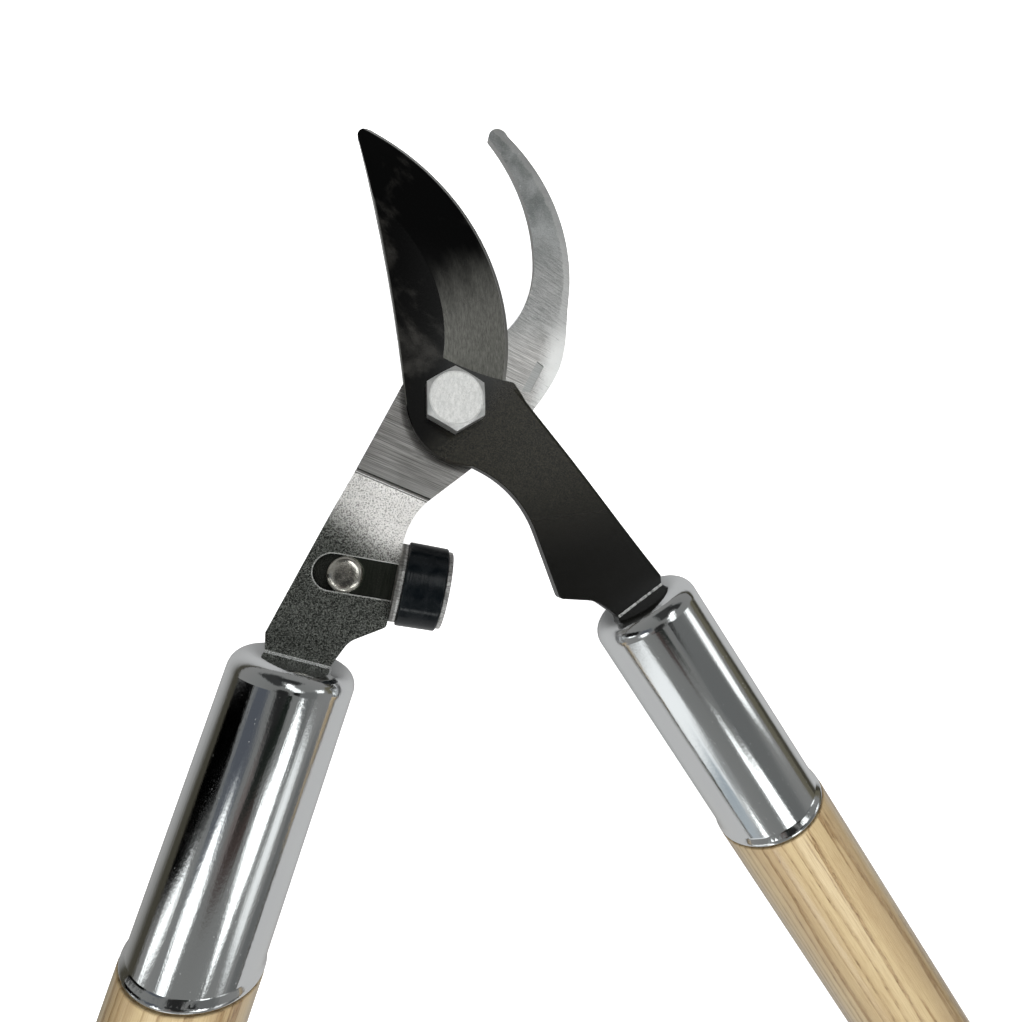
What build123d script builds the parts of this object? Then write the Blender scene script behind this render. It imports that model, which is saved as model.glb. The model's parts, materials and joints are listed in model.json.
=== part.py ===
from build123d import *
from math import cos, radians, sin, sqrt
import os

# Bypass loppers, half open: a curved steel hook, a black blade that slides across its face,
# and two straight ash handles in drawn ferrules. Millimetres. The tool lies on its back, with
# +Y towards the cutting tips, +Z out of the blade's face and the blade lever's handle at +X.

# Handles: the two axes lie in one plane, and pass the pivot on either side of it.
HALF_SPREAD = 25.75          # angle of each handle from -Y, in degrees
HOOK_HANDLE_OFFSET = -18.3   # where the hook side's axis passes the pivot, to the left
BLADE_HANDLE_OFFSET = 15.9   # where the blade side's axis passes the pivot, to the right
FERRULE_START = 80.8         # ferrule's front face, measured down the handle's axis
FERRULE_LENGTH = 80.4
FERRULE_RADIUS = 17.0
FERRULE_WALL = 1.2
FERRULE_SHOULDER = 5.5
FLARE_RADIUS = 17.6          # the ferrule's open end, swelled over the wood's shoulder
FLARE_LENGTH = 3.2
LIP_ROUND = 0.8
HANDLE_RADIUS = 17.7         # just behind the ferrule
GRIP_RADIUS = 16.0
GRIP_LENGTH = 110.0
HANDLE_END = 640.0
BUTT_DOME = 9.0

# Steel plates and their levels above the face on which the two levers slide.
HOOK_THICKNESS = 6.0
BLADE_THICKNESS = 5.0
SLIDE_GAP = 0.1
RAISED_SKIN = 0.4            # unmachined skin stands this much above the sliding face
HOOK_TANG_FRONT = 3.0        # both tangs are centred on the handles' plane
BLADE_TANG_FRONT = 2.5
TANG_WIDTH = 17.4
TANG_TAIL_WIDTH = 11.0
TANG_TAIL_START = FERRULE_START + 6.0
TANG_TAIL_END = FERRULE_START + 66.0
TANG_CLEARANCE = 0.1

# Pivot: an M10 bolt, with a flat washer and a nylon-insert nut behind the hook.
BOLT_RADIUS = 5.0
PIVOT_CLEARANCE = 0.05
HEX_ACROSS_FLATS = 16.0
HEAD_HEIGHT = 6.4
HEX_TURN = -6.7              # one corner of the head points this far from +Y
WASHER_RADIUS = 10.0
WASHER_THICKNESS = 2.0
NUT_HEIGHT = 10.0
NUT_HEX_HEIGHT = 7.6
INSERT_RADIUS = 6.6
INSERT_THICKNESS = 2.0
BOLT_END = 1.5               # thread showing below the nut

# Rubber bumper, on a stem let into the hook's arm. Its axis passes below the pivot.
BUMPER_ANGLE = -19.0         # direction of the bumper's axis from +X, in degrees
BUMPER_REACH = 53.5          # distance of the bumper's axis from the pivot
PAD_EDGE = -6.2              # where the arm stops, along the bumper's axis
RIVET_PLACE = -20.0
SLOT_END = -23.6             # centre of the slot's round end
SLOT_WIDTH = 10.2
STEM_WIDTH = 10.0
SHANK_RADIUS = 3.2
BASE_WASHER = 2.0
RUBBER_LENGTH = 11.3
RUBBER_RADIUS = 12.0
END_WASHER = 1.4
BUMPER_WASHER_RADIUS = 11.2
PEEN_RADIUS = 4.8
PEEN_HEIGHT = 0.9
RIVET_HEAD_RADIUS = 5.05
RIVET_HEAD_HEIGHT = 2.2
RIVET_SHANK_RADIUS = 2.5

# Cutting blade: its edge is one arc, and the ground bevel is a cone about the same centre.
EDGE_CENTRE = (-46.6, 25.9)
EDGE_RADIUS = 66.7
EDGE_HEEL = -16.8            # angles of the two ends of the edge, in degrees
EDGE_TIP = 58.7
BLADE_BOSS_CENTRE = (5.7, 0.3)
BLADE_BOSS_RADIUS = 19.3
BEVEL_WIDTH = 19.9
LAND_WIDTH = 1.0             # narrow second bevel along the cutting edge
LAND_HEIGHT = 1.0
EDGE_HEIGHT = 0.35

# Hook: every arc of its outline is named by its centre and radius.
HOOK_OUTER_CENTRE = (-13.5, 44.8)
HOOK_OUTER_RADIUS = 56.5
HOOK_INNER_CENTRE = (-25.5, 50.1)
HOOK_INNER_RADIUS = 57.6
CROTCH_CENTRE = (-0.1, 46.7)
CROTCH_RADIUS = 32.0
HOOK_BOSS_RADIUS = 15.6
HOOK_EDGE_THICKNESS = 2.4    # the hook is bevelled on its back, along the inner edge
HOOK_BEVEL_WIDTH = 5.0
HOOK_BEVEL_FOOT = 22.0       # height above the pivot where the bevel runs out
POCKET_DEPTH = 0.3           # shallow mill mark on the sliding face, at the hook's shoulder
BEND_ANGLE = 30.7            # the arm's bend lines, from the X axis
RIDGE = 28.3                 # distance of the machined face's end from the pivot
CRANK_END = 45.0             # the arm reaches the handles' plane here
BLADE_CRANK_START = 26.0     # the blade's lever sinks gently to the same plane
BLADE_CRANK_END = 76.0
EDGE_BREAK = 0.3             # dulled edges of both levers, but not of the sliding face

# The row's origin is under the middle of the tool's box.
ROW_TOP = 84.6               # hook tip above the pivot
LOWEST = HOOK_THICKNESS + WASHER_THICKNESS + NUT_HEIGHT + BOLT_END
SPREAD_SIN = sin(radians(HALF_SPREAD))
SPREAD_COS = cos(radians(HALF_SPREAD))
HANDLE_DEPTH = (HANDLE_END - 2.0) * SPREAD_COS + 0.5 * (HOOK_HANDLE_OFFSET + BLADE_HANDLE_OFFSET)
PIVOT_X = -0.5 * (HOOK_HANDLE_OFFSET + BLADE_HANDLE_OFFSET) * SPREAD_COS
PIVOT_Y = 0.5 * (HANDLE_DEPTH - ROW_TOP)
PIVOT = Vector(PIVOT_X, PIVOT_Y, LOWEST)
HEAD = Plane(origin=PIVOT)
DEEP = 30.0                  # more than any piece's depth, for cuts that go right through


def handle_plane(side, offset):
    """Plane of the tool with x running down one handle's axis and y across it, towards +X."""
    across = Vector(SPREAD_COS, side * SPREAD_SIN, 0)
    down = Vector(side * SPREAD_SIN, -SPREAD_COS, 0)
    return Plane(origin=PIVOT + across * offset, x_dir=down, z_dir=(0, 0, 1))


def side_plane(angle):
    """Upright plane through the pivot: x runs down the arm at this angle from -Y, y is up."""
    down = Vector(-sin(radians(angle)), -cos(radians(angle)), 0)
    return Plane(origin=PIVOT, x_dir=down, z_dir=down.cross(Vector(0, 0, 1)))


def on_circle(centre, radius, angle):
    """Point on a circle of the head, at an angle from +X in degrees."""
    return (centre[0] + radius * cos(radians(angle)), centre[1] + radius * sin(radians(angle)))


def right_of(centre, radius, height):
    """Point at the right of a circle of the head, at a height above the pivot."""
    return (centre[0] + sqrt(radius**2 - (height - centre[1]) ** 2), height)


def save(piece, name):
    """Label one finished piece and write it under its node's name."""
    piece.part.label = name
    export_step(piece.part, f"parts/{name}.step")


os.makedirs("parts", exist_ok=True)
HOOK_HANDLE = handle_plane(-1, HOOK_HANDLE_OFFSET)
BLADE_HANDLE = handle_plane(1, BLADE_HANDLE_OFFSET)
HANDLES = {"hook_side": (HOOK_HANDLE, HOOK_TANG_FRONT), "blade_side": (BLADE_HANDLE, BLADE_TANG_FRONT)}

bumper_x = Vector(cos(radians(BUMPER_ANGLE)), sin(radians(BUMPER_ANGLE)), 0)
bumper_y = Vector(-bumper_x.Y, bumper_x.X, 0)
BUMPER = Plane(origin=PIVOT - bumper_y * BUMPER_REACH, x_dir=bumper_x, z_dir=(0, 0, 1))
BUMPER_AXIS = Axis(BUMPER.origin, bumper_x)


def head_point(plane, along, across):
    """Where a point of another flat plane falls in the head's own coordinates."""
    local = plane.from_local_coords(Vector(along, across, 0)) - PIVOT
    return (local.X, local.Y)


def upward(face):
    """How far a face's middle looks up (1) or down (-1)."""
    return face.normal_at(face.position_at(0.5, 0.5)).Z


def rim(piece, looking):
    """Edges between a plate's upright walls and its faces that look up (1) or down (-1)."""
    wall_edges = set(piece.faces().filter_by(lambda face: abs(upward(face)) < 0.02).edges())
    flat_faces = piece.faces().filter_by(lambda face: upward(face) * looking > 0.02)
    return flat_faces.edges().filter_by(lambda edge: edge in wall_edges)


def blunt(edge):
    """Whether an edge of the blade is neither on its cutting arc nor on its small tip arc."""
    return edge.geom_type != GeomType.CIRCLE or (edge.radius > 5 and abs(edge.radius - EDGE_RADIUS) > 0.1)


def tang_tail(plane, front):
    """Tapered tail of a tang, from inside the ferrule's mouth to its point in the wood."""
    with BuildPart() as tail:
        with BuildSketch(plane.offset(-front)):
            with BuildLine():
                Polyline(
                    (FERRULE_START - 3, -TANG_WIDTH / 2),
                    (FERRULE_START - 3, TANG_WIDTH / 2),
                    (TANG_TAIL_START - 1, TANG_WIDTH / 2),
                    (TANG_TAIL_START + 3, TANG_TAIL_WIDTH / 2),
                    (TANG_TAIL_END - 10, TANG_TAIL_WIDTH / 2 - 1.5),
                    (TANG_TAIL_END, 1.5),
                    (TANG_TAIL_END, -1.5),
                    (TANG_TAIL_END - 10, -TANG_TAIL_WIDTH / 2 + 1.5),
                    (TANG_TAIL_START + 3, -TANG_TAIL_WIDTH / 2),
                    (TANG_TAIL_START - 1, -TANG_WIDTH / 2),
                    close=True,
                )
            make_face()
        extrude(amount=2 * front)
    return tail.part


# Hook lever: a curved hook, the pivot's boss, and an arm that is cranked up to the handle's
# plane and ends in a tang. Its sliding face is machined as far as the ridge.
mouth_left = head_point(HOOK_HANDLE, FERRULE_START, -TANG_WIDTH / 2)
mouth_right = head_point(HOOK_HANDLE, FERRULE_START, TANG_WIDTH / 2)
arm_start = (3.4, -18.7)
armpit = head_point(BUMPER, PAD_EDGE, 19.2)
pad_corner = head_point(BUMPER, PAD_EDGE, -12.6)
boss_side = on_circle((0, 0), HOOK_BOSS_RADIUS, 144.7)
boss_top = on_circle((0, 0), HOOK_BOSS_RADIUS, 78.0)
crotch_left = on_circle(CROTCH_CENTRE, CROTCH_RADIUS, -76.0)
crotch_right = on_circle(CROTCH_CENTRE, CROTCH_RADIUS, -6.0)
inner_top = right_of(HOOK_INNER_CENTRE, HOOK_INNER_RADIUS, 81.6)
inner_middle = right_of(HOOK_INNER_CENTRE, HOOK_INNER_RADIUS, 63.0)
outer_top = right_of(HOOK_OUTER_CENTRE, HOOK_OUTER_RADIUS, 82.2)
outer_middle = right_of(HOOK_OUTER_CENTRE, HOOK_OUTER_RADIUS, 57.0)
outer_low = right_of(HOOK_OUTER_CENTRE, HOOK_OUTER_RADIUS, 29.4)

hook_bevels = Part()
for centre, radius, low, high in (
    (CROTCH_CENTRE, CROTCH_RADIUS, HOOK_BEVEL_FOOT, crotch_right[1]),
    (HOOK_INNER_CENTRE, HOOK_INNER_RADIUS, crotch_right[1], 100.0),
):
    with BuildPart() as hook_bevel:
        with BuildSketch(Plane(origin=PIVOT + Vector(*centre, 0), x_dir=(1, 0, 0), z_dir=(0, -1, 0))):
            with BuildLine():
                Polyline(
                    (radius - 2, -HOOK_EDGE_THICKNESS),
                    (radius, -HOOK_EDGE_THICKNESS),
                    (radius + HOOK_BEVEL_WIDTH, -HOOK_THICKNESS),
                    (radius + HOOK_BEVEL_WIDTH, -HOOK_THICKNESS - 2),
                    (radius - 2, -HOOK_THICKNESS - 2),
                    close=True,
                )
            make_face()
        revolve(axis=Axis(PIVOT + Vector(*centre, 0), (0, 0, 1)))
        with BuildSketch(HEAD.offset(-DEEP)):
            with Locations((50, (low + high) / 2)):
                Rectangle(100, high - low)
        extrude(amount=2 * DEEP, mode=Mode.INTERSECT)
    hook_bevels += hook_bevel.part

with BuildPart() as hook_lever:
    with BuildSketch(HEAD.offset(-DEEP)):
        with BuildLine():
            ThreePointArc(outer_top, outer_middle, outer_low)
            Spline(
                outer_low,
                (36.2, 11.4),
                (25.6, -2.4),
                arm_start,
                tangents=[(outer_low[1] - HOOK_OUTER_CENTRE[1], HOOK_OUTER_CENTRE[0] - outer_low[0]), (-7, -4)],
            )
            FilletPolyline(arm_start, armpit, pad_corner, (-37.8, -62.6), mouth_right, radius=(22, 1.5, 6))
            Line(mouth_right, mouth_left)
            Line(mouth_left, (-58.7, -56.2))
            Line((-58.7, -56.2), boss_side)
            ThreePointArc(boss_side, on_circle((0, 0), HOOK_BOSS_RADIUS, 110.0), boss_top)
            Line(boss_top, crotch_left)
            ThreePointArc(crotch_left, on_circle(CROTCH_CENTRE, CROTCH_RADIUS, -40.0), crotch_right)
            ThreePointArc(crotch_right, inner_middle, inner_top)
            ThreePointArc(inner_top, (25.9, 84.6), outer_top)
        make_face()
    extrude(amount=2 * DEEP)
    with BuildSketch(side_plane(BEND_ANGLE)):
        with BuildLine():
            Line((-120, RAISED_SKIN), (RIDGE, RAISED_SKIN))
            Spline((RIDGE, RAISED_SKIN), (CRANK_END, HOOK_TANG_FRONT), tangents=[(1, 0), (1, 0)])
            Line((CRANK_END, HOOK_TANG_FRONT), (120, HOOK_TANG_FRONT))
            Line((120, HOOK_TANG_FRONT), (120, HOOK_TANG_FRONT - HOOK_THICKNESS))
            Line((120, HOOK_TANG_FRONT - HOOK_THICKNESS), (CRANK_END, HOOK_TANG_FRONT - HOOK_THICKNESS))
            Spline(
                (CRANK_END, HOOK_TANG_FRONT - HOOK_THICKNESS),
                (RIDGE, -HOOK_THICKNESS),
                tangents=[(-1, 0), (-1, 0)],
            )
            Polyline((RIDGE, -HOOK_THICKNESS), (-120, -HOOK_THICKNESS), (-120, RAISED_SKIN))
        make_face()
    extrude(amount=120, both=True, mode=Mode.INTERSECT)
    chamfer(rim(hook_lever, -1), EDGE_BREAK)
    with BuildSketch(side_plane(BEND_ANGLE)):
        with BuildLine():
            Polyline(
                (-120, 0),
                (RIDGE - 0.7, 0),
                (RIDGE - 0.2, -0.3),
                (RIDGE + 0.5, RAISED_SKIN + 0.05),
                (RIDGE + 0.5, RAISED_SKIN + 1),
                (-120, RAISED_SKIN + 1),
                close=True,
            )
        make_face()
    extrude(amount=120, both=True, mode=Mode.SUBTRACT)
    add(tang_tail(HOOK_HANDLE, HOOK_TANG_FRONT))
    add(hook_bevels, mode=Mode.SUBTRACT)
    with BuildSketch(HEAD.offset(-POCKET_DEPTH)):
        with BuildLine():
            Polyline((29.9, 9.8), (24.5, 2.2), (21.8, 2.7), (28.0, 11.5), close=True)
        make_face()
    extrude(amount=1, mode=Mode.SUBTRACT)
    with BuildSketch(HEAD.offset(-DEEP)):
        Circle(BOLT_RADIUS + PIVOT_CLEARANCE)
    extrude(amount=2 * DEEP, mode=Mode.SUBTRACT)
    with BuildSketch(BUMPER):
        with Locations((SLOT_END, 0)):
            Circle(SLOT_WIDTH / 2)
        with Locations(((SLOT_END + PAD_EDGE + 5) / 2, 0)):
            Rectangle(PAD_EDGE + 5 - SLOT_END, SLOT_WIDTH)
    extrude(amount=DEEP, mode=Mode.SUBTRACT)
    with BuildSketch(BUMPER.offset(-DEEP)):
        with Locations((RIVET_PLACE, 0)):
            Circle(RIVET_SHANK_RADIUS)
    extrude(amount=2 * DEEP, mode=Mode.SUBTRACT)
save(hook_lever, "hook_lever")

# Blade lever: the outline runs from the tip down the cutting edge, round the heel's shoulder,
# down the arm to the tang, and back up the flank that meets the bumper.
edge_tip = on_circle(EDGE_CENTRE, EDGE_RADIUS, EDGE_TIP)
edge_middle = on_circle(EDGE_CENTRE, EDGE_RADIUS, 20.0)
edge_heel = on_circle(EDGE_CENTRE, EDGE_RADIUS, EDGE_HEEL)
boss_foot = on_circle(BLADE_BOSS_CENTRE, BLADE_BOSS_RADIUS, -98)
boss_left = on_circle(BLADE_BOSS_CENTRE, BLADE_BOSS_RADIUS, 178)
spine_top = (-16.5, 79.9)
arm_outer = head_point(BLADE_HANDLE, FERRULE_START, TANG_WIDTH / 2)
arm_inner = head_point(BLADE_HANDLE, FERRULE_START, -TANG_WIDTH / 2)
blade_front = SLIDE_GAP + BLADE_THICKNESS

with BuildPart() as bevel_cutter:
    with BuildSketch(Plane(origin=PIVOT + Vector(*EDGE_CENTRE, 0), x_dir=(1, 0, 0), z_dir=(0, -1, 0))):
        with BuildLine():
            Polyline(
                (EDGE_RADIUS - BEVEL_WIDTH, blade_front),
                (EDGE_RADIUS - LAND_WIDTH, SLIDE_GAP + LAND_HEIGHT),
                (EDGE_RADIUS, SLIDE_GAP + EDGE_HEIGHT),
                (EDGE_RADIUS + 4, SLIDE_GAP + EDGE_HEIGHT),
                (EDGE_RADIUS + 4, blade_front + 4),
                (EDGE_RADIUS - BEVEL_WIDTH, blade_front + 4),
                close=True,
            )
        make_face()
    revolve(axis=Axis(PIVOT + Vector(*EDGE_CENTRE, 0), (0, 0, 1)))
    with BuildSketch(HEAD.offset(-DEEP)):
        with BuildLine():
            ThreePointArc((-8, 18.3), (6.0, 9.1), (24, 3.1))
            Polyline((24, 3.1), (40, 100), (-60, 100), (-60, 18.3), (-8, 18.3))
        make_face()
    extrude(amount=2 * DEEP, mode=Mode.INTERSECT)

with BuildPart() as blade_lever:
    with BuildSketch(HEAD.offset(-DEEP)):
        with BuildLine():
            ThreePointArc(edge_tip, edge_middle, edge_heel)
            ThreePointArc(edge_heel, (19.0, 3.6), (21.4, -1.6))
            Line((21.4, -1.6), (57.5, -59.4))
            Line((57.5, -59.4), arm_outer)
            Line(arm_outer, arm_inner)
            FilletPolyline(
                arm_inner, (35.2, -63.7), (23.9, -61.2), (15.8, -27.1), boss_foot, radius=(10, 1.8, 34)
            )
            ThreePointArc(boss_foot, on_circle(BLADE_BOSS_CENTRE, BLADE_BOSS_RADIUS, -140), boss_left)
            TangentArc(boss_left, spine_top, tangent=(2, 57))
            ThreePointArc(spine_top, (-15.2, 83.1), edge_tip)
        make_face()
    extrude(amount=2 * DEEP)
    with BuildSketch(side_plane(-HALF_SPREAD)):
        with BuildLine():
            Line((-120, blade_front), (BLADE_CRANK_START, blade_front))
            Spline((BLADE_CRANK_START, blade_front), (BLADE_CRANK_END, BLADE_TANG_FRONT), tangents=[(1, 0), (1, 0)])
            Polyline(
                (BLADE_CRANK_END, BLADE_TANG_FRONT),
                (120, BLADE_TANG_FRONT),
                (120, BLADE_TANG_FRONT - BLADE_THICKNESS),
                (BLADE_CRANK_END, BLADE_TANG_FRONT - BLADE_THICKNESS),
            )
            Spline(
                (BLADE_CRANK_END, BLADE_TANG_FRONT - BLADE_THICKNESS),
                (BLADE_CRANK_START, SLIDE_GAP),
                tangents=[(-1, 0), (-1, 0)],
            )
            Polyline((BLADE_CRANK_START, SLIDE_GAP), (-120, SLIDE_GAP), (-120, blade_front))
        make_face()
    extrude(amount=120, both=True, mode=Mode.INTERSECT)
    for looking in (1, -1):
        chamfer(rim(blade_lever, looking).filter_by(blunt), EDGE_BREAK)
    add(tang_tail(BLADE_HANDLE, BLADE_TANG_FRONT))
    add(bevel_cutter.part, mode=Mode.SUBTRACT)
    with BuildSketch(HEAD.offset(-DEEP)):
        Circle(BOLT_RADIUS + PIVOT_CLEARANCE)
    extrude(amount=2 * DEEP, mode=Mode.SUBTRACT)
save(blade_lever, "blade_lever")

# Ferrules and handles, the same on both sides but for the thickness of the tang.
inner_radius = FERRULE_RADIUS - FERRULE_WALL
ferrule_end = FERRULE_START + FERRULE_LENGTH
flare_start = ferrule_end - FLARE_LENGTH
flare_end = ferrule_end - LIP_ROUND - 0.2
wood_front = FERRULE_START + FERRULE_WALL

for side, (plane, tang_front) in HANDLES.items():
    handle_axis = Axis(plane.origin, plane.x_dir)

    with BuildPart() as ferrule:
        with BuildSketch(plane):
            with BuildLine():
                Polyline(
                    (flare_start, FERRULE_RADIUS),
                    (FERRULE_START, FERRULE_RADIUS),
                    (FERRULE_START, 0),
                    (ferrule_end, 0),
                    (ferrule_end, FLARE_RADIUS),
                    (flare_end, FLARE_RADIUS),
                )
                Spline(
                    (flare_start, FERRULE_RADIUS),
                    (flare_end, FLARE_RADIUS),
                    tangents=[(1, 0), (1, 0)],
                )
            make_face()
        revolve(axis=handle_axis)
        fillet(ferrule.edges().filter_by(GeomType.CIRCLE).sort_by(handle_axis)[0], FERRULE_SHOULDER)
        fillet(ferrule.edges().filter_by(GeomType.CIRCLE).sort_by(handle_axis)[-1], LIP_ROUND)
        with BuildSketch(plane):
            with BuildLine():
                Polyline(
                    (wood_front, 0),
                    (wood_front, inner_radius),
                    (ferrule_end + 1, inner_radius),
                    (ferrule_end + 1, 0),
                    close=True,
                )
            make_face()
            fillet(
                vertices().sort_by(Axis((0, 0, 0), (1, -1, 0)))[0],
                FERRULE_SHOULDER - FERRULE_WALL,
            )
        revolve(axis=handle_axis, mode=Mode.SUBTRACT)
        with BuildSketch(plane.offset(-tang_front - TANG_CLEARANCE)):
            with Locations((FERRULE_START, 0)):
                Rectangle(20, TANG_WIDTH + 2 * TANG_CLEARANCE)
        extrude(amount=2 * (tang_front + TANG_CLEARANCE), mode=Mode.SUBTRACT)
    save(ferrule, f"ferrule_{side}")

    grip_start = HANDLE_END - BUTT_DOME - GRIP_LENGTH
    with BuildPart() as handle:
        with BuildSketch(plane):
            with BuildLine():
                Polyline(
                    (HANDLE_END, 0),
                    (wood_front, 0),
                    (wood_front, inner_radius - FERRULE_SHOULDER),
                    (wood_front + FERRULE_SHOULDER, inner_radius),
                    (ferrule_end + 0.3, inner_radius),
                    (ferrule_end + 0.3, HANDLE_RADIUS - 0.4),
                )
                ThreePointArc(
                    (ferrule_end + 0.3, HANDLE_RADIUS - 0.4),
                    (ferrule_end + 0.45, HANDLE_RADIUS - 0.1),
                    (ferrule_end + 0.8, HANDLE_RADIUS),
                )
                Line((ferrule_end + 0.8, HANDLE_RADIUS), (grip_start, GRIP_RADIUS))
                Line((grip_start, GRIP_RADIUS), (HANDLE_END - BUTT_DOME, GRIP_RADIUS))
                Spline(
                    (HANDLE_END - BUTT_DOME, GRIP_RADIUS),
                    (HANDLE_END, 0),
                    tangents=[(1, 0), (0, -1)],
                )
            make_face()
        revolve(axis=handle_axis)
        with BuildSketch(plane.offset(-tang_front - TANG_CLEARANCE)):
            with Locations((TANG_TAIL_START, 0)):
                Rectangle(12, TANG_WIDTH + 2 * TANG_CLEARANCE)
            with Locations(((TANG_TAIL_START + TANG_TAIL_END) / 2, 0)):
                Rectangle(TANG_TAIL_END - TANG_TAIL_START + 4, TANG_TAIL_WIDTH + 2 * TANG_CLEARANCE)
        extrude(amount=2 * (tang_front + TANG_CLEARANCE), mode=Mode.SUBTRACT)
    save(handle, f"handle_{side}")

# Pivot bolt: a chamfered hexagon head on a washer face, and a shank with a chamfered end.
head_foot = blade_front + SLIDE_GAP
head_top = head_foot + HEAD_HEIGHT
hex_corner = HEX_ACROSS_FLATS / sqrt(3)
bolt_foot = -LOWEST
pivot_axis = Axis(PIVOT, (0, 0, 1))
section = Plane(origin=PIVOT, x_dir=(1, 0, 0), z_dir=(0, -1, 0))
hex_angle = 90 + HEX_TURN

with BuildPart() as pivot_bolt:
    with BuildSketch(HEAD.offset(head_foot)):
        RegularPolygon(hex_corner, 6, rotation=hex_angle)
    extrude(amount=HEAD_HEIGHT)
    with BuildSketch(section):
        with BuildLine():
            Polyline(
                (0, head_foot),
                (HEX_ACROSS_FLATS / 2 - 0.3, head_foot),
                (HEX_ACROSS_FLATS / 2 - 0.3, head_foot + 0.4),
                (hex_corner + 1, head_foot + 0.4),
                (hex_corner + 1, head_top - 1.45),
                (HEX_ACROSS_FLATS / 2 - 0.5, head_top),
                (0, head_top),
                close=True,
            )
        make_face()
    revolve(axis=pivot_axis, mode=Mode.INTERSECT)
    with BuildSketch(HEAD.offset(bolt_foot)):
        Circle(BOLT_RADIUS)
    extrude(amount=head_foot - bolt_foot)
    chamfer(pivot_bolt.edges().filter_by(GeomType.CIRCLE).sort_by(Axis.Z)[0], 0.8)
save(pivot_bolt, "pivot_bolt")

washer_top = -HOOK_THICKNESS
nut_top = washer_top - WASHER_THICKNESS
with BuildPart() as pivot_washer:
    with BuildSketch(HEAD.offset(nut_top)):
        Circle(WASHER_RADIUS)
        Circle(BOLT_RADIUS + 0.25, mode=Mode.SUBTRACT)
    extrude(amount=WASHER_THICKNESS)
    chamfer(pivot_washer.edges().filter_by(GeomType.CIRCLE).group_by(Axis.Z)[0].sort_by(SortBy.RADIUS)[-1], 0.4)
save(pivot_washer, "pivot_washer")

# Lock nut: a hexagon with chamfered corners, and a round collar that holds the nylon ring.
nut_foot = nut_top - NUT_HEIGHT
with BuildPart() as lock_nut:
    with BuildSketch(HEAD.offset(nut_top - NUT_HEX_HEIGHT)):
        RegularPolygon(hex_corner, 6, rotation=hex_angle)
    extrude(amount=NUT_HEX_HEIGHT)
    with BuildSketch(section):
        with BuildLine():
            Polyline(
                (0, nut_top),
                (HEX_ACROSS_FLATS / 2 - 0.3, nut_top),
                (hex_corner + 0.2, nut_top - 0.8),
                (hex_corner + 0.2, nut_top - NUT_HEX_HEIGHT + 0.8),
                (HEX_ACROSS_FLATS / 2 - 0.4, nut_top - NUT_HEX_HEIGHT),
                (0, nut_top - NUT_HEX_HEIGHT),
                close=True,
            )
        make_face()
    revolve(axis=pivot_axis, mode=Mode.INTERSECT)
    with BuildSketch(HEAD.offset(nut_foot)):
        Circle(HEX_ACROSS_FLATS / 2 - 0.5)
    extrude(amount=NUT_HEIGHT - NUT_HEX_HEIGHT)
    fillet(lock_nut.edges().filter_by(GeomType.CIRCLE).sort_by(Axis.Z)[0], 0.9)
    with BuildSketch(HEAD.offset(nut_foot)):
        Circle(BOLT_RADIUS + 0.3)
    extrude(amount=NUT_HEIGHT, mode=Mode.SUBTRACT)
    with BuildSketch(HEAD.offset(nut_foot + 0.4)):
        Circle(INSERT_RADIUS)
    extrude(amount=INSERT_THICKNESS, mode=Mode.SUBTRACT)
    with BuildSketch(HEAD.offset(nut_foot + 0.4 + INSERT_THICKNESS)):
        Circle(BOLT_RADIUS + 0.3)
        Circle(BOLT_RADIUS, mode=Mode.SUBTRACT)
    extrude(amount=NUT_HEIGHT - INSERT_THICKNESS - 0.8)
save(lock_nut, "lock_nut")

with BuildPart() as nut_insert:
    with BuildSketch(HEAD.offset(nut_foot + 0.4)):
        Circle(INSERT_RADIUS)
        Circle(BOLT_RADIUS, mode=Mode.SUBTRACT)
    extrude(amount=INSERT_THICKNESS)
save(nut_insert, "nut_insert")

# Bumper stem: a flat tongue flush in the arm's slot, and a round shank whose end is peened.
shank_end = PAD_EDGE + BASE_WASHER + RUBBER_LENGTH + END_WASHER
with BuildPart() as bumper_stem:
    with BuildSketch(BUMPER):
        with Locations((RIVET_PLACE, 0)):
            Circle(STEM_WIDTH / 2)
        with Locations(((RIVET_PLACE + PAD_EDGE) / 2, 0)):
            Rectangle(PAD_EDGE - RIVET_PLACE, STEM_WIDTH)
        with Locations((RIVET_PLACE, 0)):
            Circle(RIVET_SHANK_RADIUS, mode=Mode.SUBTRACT)
    extrude(amount=HOOK_TANG_FRONT)
    with BuildSketch(BUMPER):
        with BuildLine():
            Line((PAD_EDGE, 0), (PAD_EDGE, SHANK_RADIUS))
            Line((PAD_EDGE, SHANK_RADIUS), (shank_end, SHANK_RADIUS))
            Line((shank_end, SHANK_RADIUS), (shank_end, PEEN_RADIUS))
            Spline(
                (shank_end, PEEN_RADIUS),
                (shank_end + PEEN_HEIGHT, 0),
                tangents=[(1, -0.6), (0, -1)],
            )
            Line((shank_end + PEEN_HEIGHT, 0), (PAD_EDGE, 0))
        make_face()
    revolve(axis=BUMPER_AXIS)
save(bumper_stem, "bumper_stem")

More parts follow.
